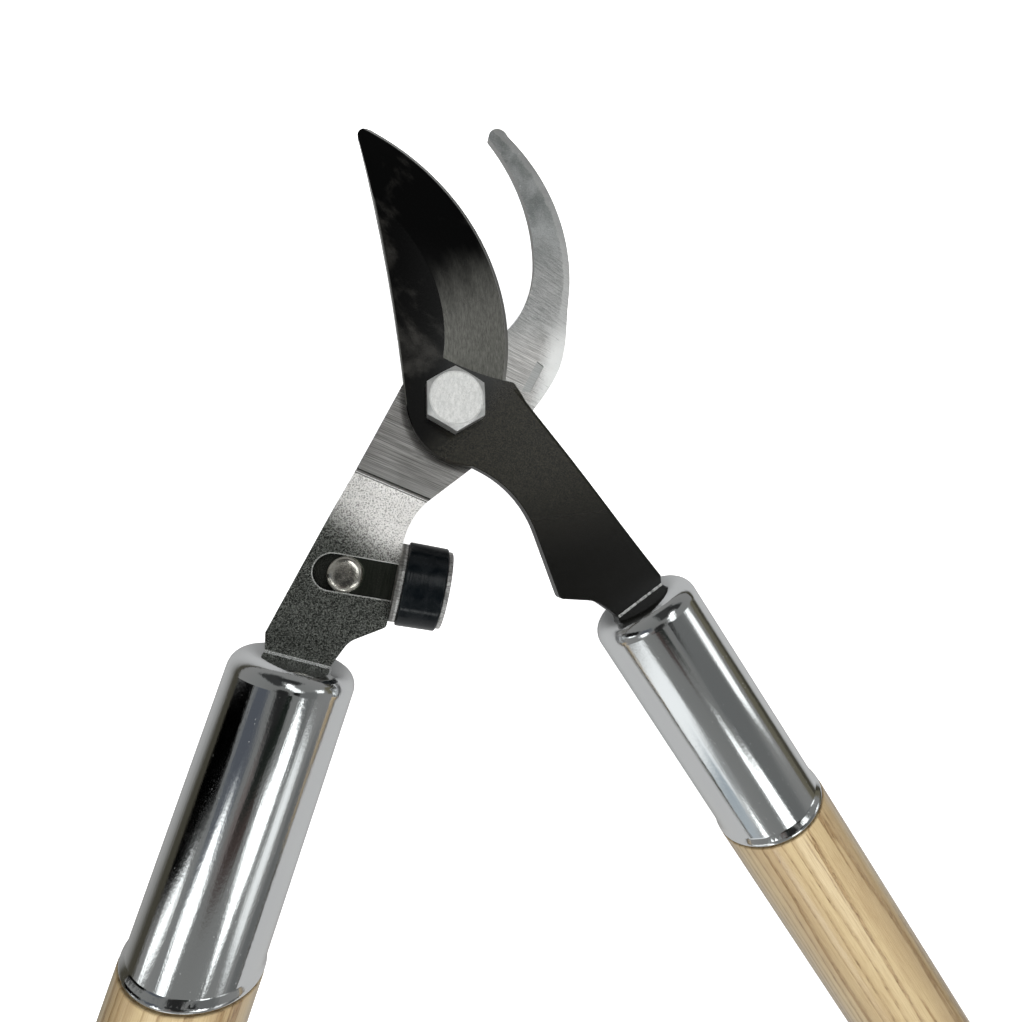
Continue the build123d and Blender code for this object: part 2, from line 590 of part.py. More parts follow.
# Bumper stack along the stem: base washer, rubber ring, end washer.
STACK = {
    "bumper_base_washer": (PAD_EDGE, BASE_WASHER, BUMPER_WASHER_RADIUS, 0.3),
    "bumper_rubber": (PAD_EDGE + BASE_WASHER, RUBBER_LENGTH, RUBBER_RADIUS, 0.5),
    "bumper_end_washer": (shank_end - END_WASHER, END_WASHER, BUMPER_WASHER_RADIUS, 0.3),
}
stack_plane = Plane(origin=BUMPER.origin, x_dir=bumper_y, z_dir=bumper_x)
for name, (start, length, radius, rounding) in STACK.items():
    with BuildPart() as ring:
        with BuildSketch(stack_plane.offset(start)):
            Circle(radius)
        extrude(amount=length)
        fillet(ring.edges().filter_by(GeomType.CIRCLE), rounding)
        with BuildSketch(stack_plane.offset(start)):
            Circle(SHANK_RADIUS)
        extrude(amount=length, mode=Mode.SUBTRACT)
    save(ring, name)

# Dome-headed rivet through the tongue and the arm, closed flat against the arm's back.
rivet_section = Plane(origin=BUMPER.origin + bumper_x * RIVET_PLACE, x_dir=bumper_x, z_dir=-bumper_y)
rivet_back = HOOK_TANG_FRONT - HOOK_THICKNESS
with BuildPart() as bumper_rivet:
    with BuildSketch(rivet_section):
        with BuildLine():
            Polyline(
                (0, HOOK_TANG_FRONT + RIVET_HEAD_HEIGHT),
                (0, rivet_back - 0.9),
                (RIVET_HEAD_RADIUS - 0.6, rivet_back - 0.9),
                (RIVET_HEAD_RADIUS, rivet_back - 0.3),
                (RIVET_HEAD_RADIUS, rivet_back),
                (RIVET_SHANK_RADIUS, rivet_back),
                (RIVET_SHANK_RADIUS, HOOK_TANG_FRONT),
                (RIVET_HEAD_RADIUS, HOOK_TANG_FRONT),
                (RIVET_HEAD_RADIUS, HOOK_TANG_FRONT + 0.3),
            )
            Spline(
                (RIVET_HEAD_RADIUS, HOOK_TANG_FRONT + 0.3),
                (0, HOOK_TANG_FRONT + RIVET_HEAD_HEIGHT),
                tangents=[(0, 1), (-1, 0)],
            )
        make_face()
    revolve(axis=Axis(rivet_section.origin, (0, 0, 1)))
save(bumper_rivet, "bumper_rivet")
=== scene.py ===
import json
from math import cos, radians, sin

import bpy
from mathutils import Matrix, Vector

# Bypass loppers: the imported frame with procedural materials, a pale floor and soft studio light.
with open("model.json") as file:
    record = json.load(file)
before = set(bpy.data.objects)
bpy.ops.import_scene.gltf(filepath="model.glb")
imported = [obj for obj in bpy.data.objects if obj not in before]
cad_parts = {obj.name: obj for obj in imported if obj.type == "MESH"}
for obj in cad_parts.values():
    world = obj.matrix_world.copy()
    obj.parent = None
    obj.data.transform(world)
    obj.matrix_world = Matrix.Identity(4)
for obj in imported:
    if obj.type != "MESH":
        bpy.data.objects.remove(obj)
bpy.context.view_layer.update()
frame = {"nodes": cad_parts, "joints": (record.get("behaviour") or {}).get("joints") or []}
nodes = frame["nodes"]
pivot = Vector(frame["joints"][0]["pos_m"])
scene = bpy.context.scene

# Geometry that the materials follow, in millimetres and degrees about the pivot, as in the CAD.
MM = 1000.0
HALF_SPREAD = 25.75                  # each handle's turn from straight down
FERRULE_MOUTH = 80.6                 # distance down a handle to its ferrule's mouth
EDGE_CENTRE = (-46.6, 25.9)          # centre of the cutting edge's arc
EDGE_RADIUS = 66.7
HOOK_OUTER_CENTRE = (-13.5, 44.8)    # centre of the hook's outer border
BORDER_RADIUS = 55.2                 # where the hook's dressed border begins
BLADE_FRONT = 5.1                    # height of the blade lever's front face
BEND_ANGLE = 30.7                    # turn of the arm's ridge
RIDGE = 28.3                         # distance from the pivot to the ridge
BUMPER_ANGLE = -19.0
BUMPER_REACH = 53.5                  # distance from the pivot to the bumper's axis
SLOT_END = -23.6                     # centre of the slot's round end, along the bumper's axis
SLOT_RADIUS = 5.1
POCKET_DEPTH = 0.3                   # depth of the pocket milled in the hook
WASHER_RIM = -5.3                    # where the washers turn bright, along the bumper's axis
TONGUE_END = -6.3                    # where the stem's tongue ends and its shank begins
BOLT_FACE = 11.6                     # height of the bolt's face
FACE_RING = 7.3                      # radius of the ring that the chamfer leaves on the bolt's face
LEVER_BORDER = 17.3                  # distance to the blade lever's outer border
LEVER_OUTWARD = (0.8488, 0.5287, 0)  # direction square to that border

# Each handle's side, its place across the tool, and a seed for its grain.
HANDLES = {"hook_side": (-1, -18.3, 11.0), "blade_side": (1, 15.9, 3.7)}
RING_WIDTH = 2.3                     # one year's growth in the wood
PITH = (-24, 0, -46)                 # the tree's middle, seen from a handle's axis

WHITE = (1.0, 1.0, 0.98)
GREY = (0.97, 1.0, 0.99)


def heading(degrees):
    """Unit direction in plan, turned from X."""
    return (cos(radians(degrees)), sin(radians(degrees)), 0)


BUMPER_AXIS = heading(BUMPER_ANGLE)
BUMPER_ACROSS = heading(BUMPER_ANGLE + 90)
RIDGE_ALONG = heading(-BEND_ANGLE)
RIDGE_DOWN = heading(-BEND_ANGLE - 90)


# ---------------------------------------------------------------- node helpers
class Shader:
    """One material's node tree, with short calls that each return a socket."""

    def __init__(self, tree):
        self.tree = tree

    def node(self, kind, **settings):
        made = self.tree.nodes.new(kind)
        for name, value in settings.items():
            setattr(made, name, value)
        return made

    def put(self, socket, value):
        """Link a socket, or set a constant on it."""
        if isinstance(value, bpy.types.NodeSocket):
            self.tree.links.new(value, socket)
        else:
            socket.default_value = value

    def math(self, operation, a, b=0.0, c=0.0, clamp=False):
        made = self.node("ShaderNodeMath", operation=operation, use_clamp=clamp)
        for socket, value in zip(made.inputs, (a, b, c)):
            self.put(socket, value)
        return made.outputs[0]

    def vector(self, operation, a, b=(0, 0, 0)):
        made = self.node("ShaderNodeVectorMath", operation=operation)
        self.put(made.inputs[0], a)
        self.put(made.inputs[1], b)
        return made.outputs["Value" if operation in ("LENGTH", "DOT_PRODUCT") else "Vector"]

    def step(self, value, low, high, start=0.0, end=1.0):
        """Smooth step of a value from low to high."""
        made = self.node("ShaderNodeMapRange", interpolation_type="SMOOTHSTEP")
        names = ("Value", "From Min", "From Max", "To Min", "To Max")
        for name, setting in zip(names, (value, low, high, start, end)):
            self.put(made.inputs[name], setting)
        return made.outputs[0]

    def scaled(self, vector, scale, turn=0.0, move=(0, 0, 0)):
        """A vector turned about Z by some degrees, then stretched."""
        turned = self.node("ShaderNodeVectorRotate", rotation_type="Z_AXIS")
        self.put(turned.inputs["Vector"], vector)
        turned.inputs["Angle"].default_value = radians(turn)
        moved = self.vector("ADD", turned.outputs[0], move)
        return self.vector("MULTIPLY", moved, scale)

    def noise(self, vector, detail=2.0, roughness=0.5, distortion=0.0):
        made = self.node("ShaderNodeTexNoise")
        self.put(made.inputs["Vector"], vector)
        made.inputs["Scale"].default_value = 1.0
        made.inputs["Detail"].default_value = detail
        made.inputs["Roughness"].default_value = roughness
        made.inputs["Distortion"].default_value = distortion
        return made.outputs["Fac"]

    def cells(self, vector):
        made = self.node("ShaderNodeTexVoronoi")
        self.put(made.inputs["Vector"], vector)
        made.inputs["Scale"].default_value = 1.0
        return made.outputs["Distance"]

    def ramp(self, value, stops):
        made = self.node("ShaderNodeValToRGB")
        self.put(made.inputs[0], value)
        band = made.color_ramp
        while len(band.elements) < len(stops):
            band.elements.new(0.5)
        for element, (place, colour) in zip(band.elements, stops):
            element.position = place
            element.color = (*colour, 1) if isinstance(colour, tuple) else (colour, colour, colour, 1)
        return made.outputs[0]

    def mix(self, share, a, b):
        """Mix two colours."""
        made = self.node("ShaderNodeMix", data_type="RGBA")
        self.put(made.inputs[0], share)
        for socket, value in ((made.inputs[6], a), (made.inputs[7], b)):
            self.put(socket, (*value, 1) if isinstance(value, tuple) and len(value) == 3 else value)
        return made.outputs[2]

    def blend(self, share, a, b):
        """Mix two plain numbers."""
        made = self.node("ShaderNodeMix", data_type="FLOAT")
        self.put(made.inputs[0], share)
        self.put(made.inputs[2], a)
        self.put(made.inputs[3], b)
        return made.outputs[0]

    def times(self, a, b):
        return self.math("MULTIPLY", a, b)

    def line(self, value, place, half_width):
        """One within half a width of a place, zero elsewhere."""
        return self.math("COMPARE", value, place, half_width)

    def bump(self, height, distance, strength=1.0, normal=None):
        made = self.node("ShaderNodeBump")
        made.inputs["Strength"].default_value = strength
        made.inputs["Distance"].default_value = distance
        self.put(made.inputs["Height"], height)
        if normal is not None:
            self.put(made.inputs["Normal"], normal)
        return made.outputs[0]


class Finish(Shader):
    """A material with one principled shader, and coordinates in millimetres about the pivot."""

    def __init__(self, name, **constants):
        self.material = bpy.data.materials.new(name)
        self.material.use_nodes = True
        super().__init__(self.material.node_tree)
        self.shader = self.tree.nodes["Principled BSDF"]
        for socket, value in constants.items():
            self.shader.inputs[socket.replace("_", " ")].default_value = value
        place = self.node("ShaderNodeTexCoord")
        from_pivot = self.vector("SUBTRACT", place.outputs["Object"], tuple(pivot))
        self.here = self.vector("MULTIPLY", from_pivot, (MM,) * 3)
        parts = self.node("ShaderNodeSeparateXYZ")
        self.put(parts.inputs[0], self.here)
        self.x, self.y, self.z = parts.outputs
        facing = self.node("ShaderNodeSeparateXYZ")
        self.put(facing.inputs[0], place.outputs["Normal"])
        self.up = facing.outputs[2]

    def set(self, **sockets):
        for name, value in sockets.items():
            self.put(self.shader.inputs[name.replace("_", " ")], value)

    def along(self, direction):
        """Distance of a point along a direction, in millimetres from the pivot."""
        return self.vector("DOT_PRODUCT", self.here, direction)

    def from_circle(self, centre):
        """Distance of a point from an upright line through a circle's centre."""
        flat = self.vector("MULTIPLY", self.vector("SUBTRACT", self.here, (*centre, 0)), (1, 1, 0))
        return self.vector("LENGTH", flat)


def wear(node_name, material):
    """Give a CAD node its material."""
    mesh = nodes[node_name].data
    mesh.materials.clear()
    mesh.materials.append(material)


# ---------------------------------------------------------------- wood
def ash(side, turn, offset, seed):
    """Clear-lacquered ash: growth rings cut lengthwise, pores in the early wood, fine fibres."""
    wood = Finish(f"ash_wood_{side}", IOR=1.5, Coat_Weight=0.8, Coat_Roughness=0.17, Coat_IOR=1.5)
    straight = wood.scaled(wood.here, (1, 1, 1), turn=turn, move=(-offset, 0, 0))
    slow = wood.scaled(straight, (0.05, 0.0035, 0.05), move=(seed, 0, 0))
    sway = wood.math("SUBTRACT", wood.noise(slow, detail=2), 0.5)
    ripple = wood.noise(wood.scaled(straight, (0.45, 0.012, 0.45), move=(seed, 7, 0)), detail=3)
    pith = wood.vector("MULTIPLY", wood.vector("SUBTRACT", straight, PITH), (1, 0, 1))
    ring = wood.math("MULTIPLY_ADD", sway, 9.0, wood.vector("LENGTH", pith))
    ring = wood.math("MULTIPLY_ADD", wood.math("SUBTRACT", ripple, 0.5), 2.8, ring)
    years = wood.math("DIVIDE", ring, RING_WIDTH)
    phase = wood.math("FRACT", years)
    age = wood.math("FLOOR", years)
    year = wood.node("ShaderNodeTexWhiteNoise", noise_dimensions="1D")
    wood.put(year.inputs["W"], age)
    growth = [(0.0, 0.35), (0.05, 1.0), (0.16, 0.72), (0.42, 0.16), (0.8, 0.0), (0.96, 0.1), (1.0, 0.35)]
    early = wood.ramp(phase, growth)
    early = wood.times(early, wood.math("MULTIPLY_ADD", year.outputs["Value"], 0.85, 0.4))
    fibre = wood.noise(wood.scaled(straight, (3.4, 0.11, 3.4)), detail=4, roughness=0.6)
    thread = wood.noise(wood.scaled(straight, (9.0, 0.16, 9.0), move=(0, 0, 3)), detail=3, roughness=0.7)
    pores = wood.noise(wood.scaled(straight, (7.0, 0.35, 7.0), move=(3, 0, 0)), detail=1)
    pores = wood.times(wood.step(pores, 0.56, 0.66), wood.step(early, 0.22, 0.6))
    clouds = wood.noise(wood.scaled(straight, (0.12, 0.012, 0.12), move=(0, 3, 0)))
    pale = wood.mix(wood.step(clouds, 0.38, 0.62), (0.57, 0.44, 0.24), (0.49, 0.36, 0.195))
    colour = wood.mix(early, pale, (0.31, 0.19, 0.08))
    dark_fibre = wood.times(wood.step(fibre, 0.45, 0.72), 0.5)
    colour = wood.mix(dark_fibre, colour, (0.34, 0.215, 0.095))
    pale_thread = wood.times(wood.step(thread, 0.52, 0.75), 0.4)
    colour = wood.mix(pale_thread, colour, (0.80, 0.66, 0.41))
    colour = wood.mix(wood.times(pores, 0.85), colour, (0.17, 0.088, 0.033))
    grain = wood.bump(wood.math("SUBTRACT", fibre, wood.times(pores, 0.9)), 0.00022, 0.6)
    wood.set(Base_Color=colour, Roughness=wood.blend(early, 0.36, 0.5), Normal=grain)
    return wood.material


# ---------------------------------------------------------------- metals
def ferrule_chrome(side, turn):
    """Bright chrome over drawn steel: faint draw lines, a soft waviness and a few pits."""
    chrome = Finish(f"ferrule_chrome_{side}", Metallic=1.0, Specular_IOR_Level=0.5)
    straight = chrome.scaled(chrome.here, (1, 1, 1), turn=turn)
    draw = chrome.noise(chrome.scaled(straight, (1.1, 0.035, 1.1)), detail=3, roughness=0.6)
    peel = chrome.noise(chrome.scaled(straight, (1.6, 0.9, 1.6)), detail=3, roughness=0.65)
    pits = chrome.cells(chrome.scaled(straight, (0.55, 0.4, 0.55)))
    pits = chrome.step(pits, 0.05, 0.09, 1.0, 0.0)
    haze = chrome.noise(chrome.scaled(straight, (0.08, 0.04, 0.08)), detail=4)
    height = chrome.math("MULTIPLY_ADD", draw, 0.35, chrome.times(peel, 0.22))
    height = chrome.math("SUBTRACT", height, chrome.times(pits, 0.2))
    chrome.set(
        Base_Color=chrome.mix(haze, (0.80, 0.815, 0.83), (0.86, 0.87, 0.875)),
        Roughness=chrome.blend(chrome.step(haze, 0.35, 0.75), 0.07, 0.13),
        Normal=chrome.bump(height, 0.00009, 0.7),
    )
    return chrome.material


def ground_steel():
    """The hook lever: ground face above the ridge, blasted zinc below it, mottled hook."""
    steel = Finish("ground_steel", Anisotropic=0.35)
    reach = steel.along(RIDGE_DOWN)
    blasted = steel.step(reach, RIDGE - 0.2, RIDGE + 0.4)
    wall = steel.step(steel.up, 0.35, 0.75, 1.0, 0.0)

    # Grinding lines run along the ridge, and swing a little steeper on the hook.
    lines = steel.noise(steel.scaled(steel.here, (0.05, 4.4, 1), turn=BEND_ANGLE), detail=3, roughness=0.75)
    coarse = steel.noise(steel.scaled(steel.here, (0.03, 0.8, 1), turn=BEND_ANGLE), detail=2)
    swung = steel.noise(steel.scaled(steel.here, (0.2, 1.9, 1), turn=38.0), detail=4, roughness=0.75)
    broad = steel.scaled(steel.here, (0.09, 0.09, 0.09))
    patches = steel.noise(broad, detail=5, roughness=0.62, distortion=0.6)
    flecks = steel.step(steel.noise(steel.scaled(steel.here, (0.8, 0.5, 1)), detail=3), 0.66, 0.74)
    on_hook = steel.step(steel.y, 12.0, 26.0)
    tipward = steel.step(steel.y, 34.0, 56.0)

    face = steel.mix(steel.step(lines, 0.36, 0.64), (0.30, 0.288, 0.28), (0.84, 0.82, 0.80))
    face = steel.mix(steel.times(steel.step(coarse, 0.42, 0.66), 0.32), face, (0.24, 0.22, 0.214))
    by_ridge = steel.times(steel.step(reach, RIDGE - 5.0, RIDGE - 1.2), 0.5)
    face = steel.mix(by_ridge, face, (0.86, 0.85, 0.83))
    hook = steel.mix(steel.step(swung, 0.34, 0.66), (0.31, 0.313, 0.31), (0.60, 0.60, 0.595))
    mottle = steel.mix(steel.step(patches, 0.36, 0.66), (0.32, 0.34, 0.34), (0.66, 0.68, 0.68))
    mottle = steel.mix(flecks, mottle, (0.82, 0.83, 0.83))
    hook = steel.mix(steel.times(tipward, 0.85), hook, mottle)
    speck = steel.noise(steel.scaled(steel.here, (2.4, 2.4, 2.4)), detail=3, roughness=0.8)
    hook = steel.mix(steel.times(steel.step(speck, 0.5, 0.7), 0.4), hook, (0.86, 0.87, 0.87))
    hook = steel.mix(steel.times(steel.step(speck, 0.5, 0.3), 0.4), hook, (0.20, 0.205, 0.20))
    face = steel.mix(on_hook, face, hook)

    # The hook's outer border is dressed brighter, with a ragged inner limit. Low down it is freshly ground:
    # grinding hatch over near-white, and the near-white towards its outer side is a painted highlight.
    radius = steel.from_circle(HOOK_OUTER_CENTRE)
    tatter = steel.noise(steel.scaled(steel.here, (0.9, 0.5, 1)), detail=4, roughness=0.65)
    tatter_depth = 2.6
    ragged = steel.math("MULTIPLY_ADD", tatter, tatter_depth, radius)
    border = steel.step(ragged, BORDER_RADIUS, BORDER_RADIUS + 0.7)
    border = steel.times(border, steel.step(steel.y, 20.0, 30.0))
    face = steel.mix(steel.times(border, 0.55), face, (0.80, 0.80, 0.79))
    fresh = steel.times(steel.step(steel.y, 32.0, 10.0), steel.step(steel.x, 10.0, 16.0))
    # Painted highlight: the outer side of the freshly ground part is painted near-white.
    outward_highlight = steel.math("MULTIPLY_ADD", tatter, tatter_depth, steel.along((0.94, -0.35, 0)))
    outward_highlight = steel.step(outward_highlight, 22.0, 29.0)
    hatching = steel.step(steel.math("ADD", swung, steel.times(outward_highlight, 0.16)), 0.42, 0.56)
    hatched_highlight = steel.mix(hatching, (0.36, 0.365, 0.36), (1.0, 1.0, 0.99))
    face = steel.mix(steel.times(fresh, steel.math("MAXIMUM", outward_highlight, 0.15)), face, hatched_highlight)
    level = steel.step(steel.up, 0.9, 0.97)
    pocket = steel.times(level, steel.line(steel.z, -POCKET_DEPTH, 0.12))
    milled = steel.mix(steel.step(lines, 0.3, 0.7), (0.38, 0.385, 0.38), (0.56, 0.565, 0.56))
    face = steel.mix(pocket, face, milled)

    # Blasted zinc: dull crystals with bright grains. The crank is painted brightest, a painted highlight
    # where the bend faces the light.
    grains = steel.noise(steel.scaled(steel.here, (2.9, 2.9, 2.9)), detail=2, roughness=0.7)
    inward = steel.step(steel.along(RIDGE_ALONG), -26.0, 3.0)
    # Painted highlight: the crank's zinc is painted bright.
    crank_highlight = steel.step(steel.math("MULTIPLY_ADD", inward, -5.0, reach), RIDGE + 21.0, RIDGE + 6.0)
    crank_highlight = steel.times(crank_highlight, steel.blend(inward, 0.8, 1.1))
    flecked = steel.step(steel.math("ADD", grains, steel.times(crank_highlight, 0.09)), 0.44, 0.62)
    dull = steel.mix(crank_highlight, (0.047, 0.05, 0.044), (0.30, 0.285, 0.27))
    bright = steel.mix(crank_highlight, (0.40, 0.41, 0.38), (1.0, 0.985, 0.96))
    zinc = steel.mix(flecked, dull, bright)

    # The bumper's slot: painted shade inside it, and a painted highlight along its edge.
    beyond = steel.math("MAXIMUM", steel.math("SUBTRACT", SLOT_END, steel.along(BUMPER_AXIS)), 0.0)
    across = steel.math("ADD", steel.along(BUMPER_ACROSS), BUMPER_REACH)
    slot = steel.math("ADD", steel.times(beyond, beyond), steel.times(across, across))
    slot = steel.math("SQRT", slot)
    slot_rim_highlight = steel.step(slot, SLOT_RADIUS + 0.42, SLOT_RADIUS + 0.22)
    slot_rim_highlight = steel.times(slot_rim_highlight, steel.step(steel.z, 2.6, 2.9))
    zinc = steel.mix(slot_rim_highlight, zinc, (0.9, 0.9, 0.87))
    slot_shade = steel.step(slot, SLOT_RADIUS + 0.1, SLOT_RADIUS)
    slot_shade = steel.times(slot_shade, steel.step(steel.z, 2.8, 2.5))
    slot_shade = steel.times(slot_shade, steel.step(steel.z, -0.6, -0.4))
    colour = steel.mix(blasted, face, zinc)
    colour = steel.mix(wall, colour, (0.62, 0.62, 0.61))
    colour = steel.mix(slot_shade, colour, (0.06, 0.062, 0.055))

    # A painted highlight: a bright line across the tang at the ferrule's mouth, where the tang's shoulder
    # catches the light.
    shoulder_highlight = steel.line(steel.along(heading(-HALF_SPREAD - 90)), FERRULE_MOUTH, 0.17)
    colour = steel.mix(steel.times(shoulder_highlight, level), colour, WHITE)

    # Along the ridge, two fine dark lines are painted shade and the bright line between them is a painted
    # highlight.
    ridge_shade_lines = steel.line(reach, RIDGE - 0.45, 0.2)
    ridge_shade_lines = steel.math("MAXIMUM", ridge_shade_lines, steel.line(reach, RIDGE + 0.75, 0.14))
    ridge_highlight = steel.times(steel.line(reach, RIDGE + 0.2, 0.35), level)
    colour = steel.mix(steel.times(ridge_highlight, 0.9), colour, WHITE)
    ridge_shade_lines = steel.times(ridge_shade_lines, steel.step(steel.up, 0.4, 0.6))
    colour = steel.mix(ridge_shade_lines, colour, (0.08, 0.08, 0.075))

    ground_height = steel.math("ADD", steel.times(lines, 0.5), steel.times(on_hook, swung))
    height = steel.blend(blasted, ground_height, steel.times(grains, 3.0))
    ground_rough = steel.blend(tipward, 0.33, 0.40)
    zinc_rough = steel.blend(crank_highlight, steel.blend(flecked, 0.26, 0.4), 0.5)
    steel.set(
        Base_Color=colour,
        Metallic=steel.blend(steel.times(blasted, crank_highlight), 1.0, 0.55),
        Roughness=steel.blend(blasted, ground_rough, zinc_rough),
        Normal=steel.bump(height, 0.00012, 0.55),
    )
    return steel.material


def black_steel():
    """The blade lever: black coat, ground bevel that fades to the coat, bare cutting edge, and a spine wall
    painted lighter as a highlight.
    """
    black = Finish("black_steel", Specular_IOR_Level=0.5, IOR=1.45)
    radius = black.from_circle(EDGE_CENTRE)
    above = black.step(black.up, 0.5, 0.7)
    inside = black.times(black.step(black.z, BLADE_FRONT - 0.03, BLADE_FRONT - 0.08), above)
    bevel = black.times(inside, black.step(black.y, 0.5, 1.5))
    spot = black.noise(black.scaled(black.here, (0.06, 0.045, 1), turn=20), detail=3, roughness=0.55)
    reach = black.math("SUBTRACT", spot, 0.5)
    reach = black.math("MULTIPLY_ADD", reach, 12.0, black.along((-0.35, 0.94, 0)))
    satin = black.times(bevel, black.step(reach, 42.0, 8.0))
    edge = black.step(radius, EDGE_RADIUS - 1.15, EDGE_RADIUS - 0.85)
    edge = black.times(edge, black.step(black.z, 2.4, 2.0))
    edge = black.times(edge, black.step(black.y, 3.0, 6.0))
    wall = black.step(black.up, 0.85, 0.75)
    # The spine's side wall is painted lighter grey and metallic, a painted highlight.
    spine_highlight = black.times(wall, black.step(black.y, 2.0, 22.0))
    spine_highlight = black.times(spine_highlight, black.step(radius, 62.0, 60.0))

    grinding = black.noise(black.scaled(black.here, (2.6, 0.5, 1), turn=6), detail=4, roughness=0.75)
    dust = black.noise(black.scaled(black.here, (2.3, 2.3, 2.3)), detail=4, roughness=0.75)
    drift = black.scaled(black.here, (0.09, 0.055, 0.1), turn=-35)
    smoke = black.noise(drift, detail=5, roughness=0.6, distortion=0.3)
    coat = black.mix(black.step(smoke, 0.52, 0.72), (0.0012, 0.0012, 0.0012), (0.018, 0.017, 0.015))
    lever = black.mix(black.step(dust, 0.35, 0.7), (0.0015, 0.0015, 0.0012), (0.027, 0.0245, 0.0165))
    on_lever = black.step(black.along((0.6, -0.8, 0)), -1.0, 12.0)
    # Painted shade: the lever is painted darker towards its foot.
    foot_shade = black.mix(dust, (0.001, 0.001, 0.0008), (0.004, 0.0038, 0.003))
    lever = black.mix(black.step(black.y, -18.0, -52.0), lever, foot_shade)
    coat = black.mix(on_lever, coat, lever)
    ground = black.mix(black.step(grinding, 0.3, 0.7), (0.13, 0.129, 0.117), (0.25, 0.248, 0.225))
    colour = black.mix(satin, coat, ground)
    colour = black.mix(spine_highlight, colour, (0.20, 0.20, 0.19))
    colour = black.mix(edge, colour, (0.45, 0.45, 0.44))

    # A painted highlight: a broken bright line across the tang at the ferrule's mouth, where the tang's
    # shoulder catches the light.
    mouth_highlight = black.line(black.along(heading(HALF_SPREAD - 90)), FERRULE_MOUTH, 0.17)
    mouth_highlight = black.times(mouth_highlight, black.step(dust, 0.44, 0.5))
    mouth_highlight = black.times(mouth_highlight, black.step(black.up, 0.9, 0.97))
    colour = black.mix(mouth_highlight, colour, (0.9, 0.9, 0.88))

    metal = black.math("MAXIMUM", edge, black.times(spine_highlight, 0.8))
    metal = black.math("MAXIMUM", black.times(satin, 0.85), metal)
    blade_rough = black.blend(black.step(smoke, 0.5, 0.75), 0.11, 0.24)
    lever_rough = black.blend(black.step(black.y, -30.0, -55.0), 0.29, 0.2)
    rough = black.blend(on_lever, blade_rough, lever_rough)
    rough = black.blend(satin, rough, 0.42)
    rough = black.blend(edge, rough, 0.3)

    # The lever's outer border is rolled over a little.
    rolled = black.step(black.along(LEVER_OUTWARD), LEVER_BORDER, LEVER_BORDER - 0.9)
    rolled = black.math("MAXIMUM", rolled, black.step(black.y, 0.5, 2.5))
    rolled = black.bump(rolled, 0.0005, 0.9)
    height = black.times(dust, black.blend(on_lever, 0.12, 1.3))
    height = black.math("MULTIPLY_ADD", grinding, black.times(satin, 0.6), height)
    normal = black.bump(height, 0.00007, 0.5, rolled)
    black.set(Base_Color=colour, Metallic=metal, Roughness=rough, Normal=normal)
    return black.material


def zinc_bolt():
    """Zinc-plated hexagon: cast-rough pale face with turning marks, smoother flanks and chamfer."""
    zinc = Finish("zinc_bolt")
    centre = zinc.from_circle((0, 0))
    face = zinc.step(zinc.z, BOLT_FACE - 0.12, BOLT_FACE - 0.05)
    face = zinc.times(face, zinc.step(zinc.up, 0.9, 0.97))
    turned = zinc.scaled(zinc.here, (1.5, 0.8, 1), turn=12)
    streaks = zinc.noise(turned, detail=5, roughness=0.8, distortion=0.4)
    blots = zinc.noise(zinc.scaled(zinc.here, (0.35, 0.35, 0.35)), detail=4, roughness=0.6)
    specks = zinc.step(zinc.noise(zinc.scaled(zinc.here, (2.2, 2.2, 2.2)), detail=3), 0.64, 0.72)
    pale = zinc.mix(zinc.step(streaks, 0.34, 0.66), (0.56, 0.565, 0.55), (0.76, 0.76, 0.745))
    pale = zinc.mix(zinc.times(zinc.step(blots, 0.4, 0.7), 0.35), pale, (0.60, 0.61, 0.60))
    pale = zinc.mix(zinc.times(specks, 0.5), pale, (0.30, 0.30, 0.29))
    ring = zinc.math("ABSOLUTE", zinc.math("SUBTRACT", centre, FACE_RING))
    ring = zinc.step(ring, 0.1, 0.3, 0.4, 0.0)
    pale = zinc.mix(ring, pale, (0.34, 0.34, 0.33))
    flank = zinc.mix(zinc.step(blots, 0.35, 0.7), (0.66, 0.67, 0.66), (0.80, 0.80, 0.79))
    flank = zinc.mix(zinc.times(zinc.step(streaks, 0.6, 0.75), 0.4), flank, (0.45, 0.45, 0.43))
    zinc.set(
        Base_Color=zinc.mix(face, flank, pale),
        Metallic=zinc.blend(face, 0.8, 0.45),
        Roughness=zinc.blend(face, 0.28, zinc.blend(streaks, 0.62, 0.45)),
        Normal=zinc.bump(zinc.math("ADD", streaks, zinc.times(blots, 0.4)), 0.00018, 0.45),
    )
    return zinc.material


def zinc_washer():
    """Stamped washers: torn lines across their rims, dull at first and brighter along the bumper."""
    zinc = Finish("zinc_washer", Metallic=1.0)
    lines = zinc.noise(zinc.scaled(zinc.here, (0.7, 2.6, 2.6), turn=-BUMPER_ANGLE), detail=4, roughness=0.7)
    blots = zinc.noise(zinc.scaled(zinc.here, (0.6, 0.6, 0.6)), detail=4)
    colour = zinc.mix(zinc.step(lines, 0.34, 0.7), (0.17, 0.166, 0.158), (0.56, 0.547, 0.525))
    colour = zinc.mix(zinc.times(blots, 0.35), colour, (0.55, 0.53, 0.51))
    bright = zinc.mix(zinc.step(lines, 0.4, 0.6), (0.5, 0.49, 0.48), (0.95, 0.94, 0.92))
    beyond = zinc.step(zinc.along(BUMPER_AXIS), WASHER_RIM, WASHER_RIM + 0.4)
    zinc.set(
        Base_Color=zinc.mix(beyond, colour, bright),
        Roughness=zinc.blend(lines, 0.5, 0.32),
        Normal=zinc.bump(lines, 0.00016, 0.6),
    )
    return zinc.material


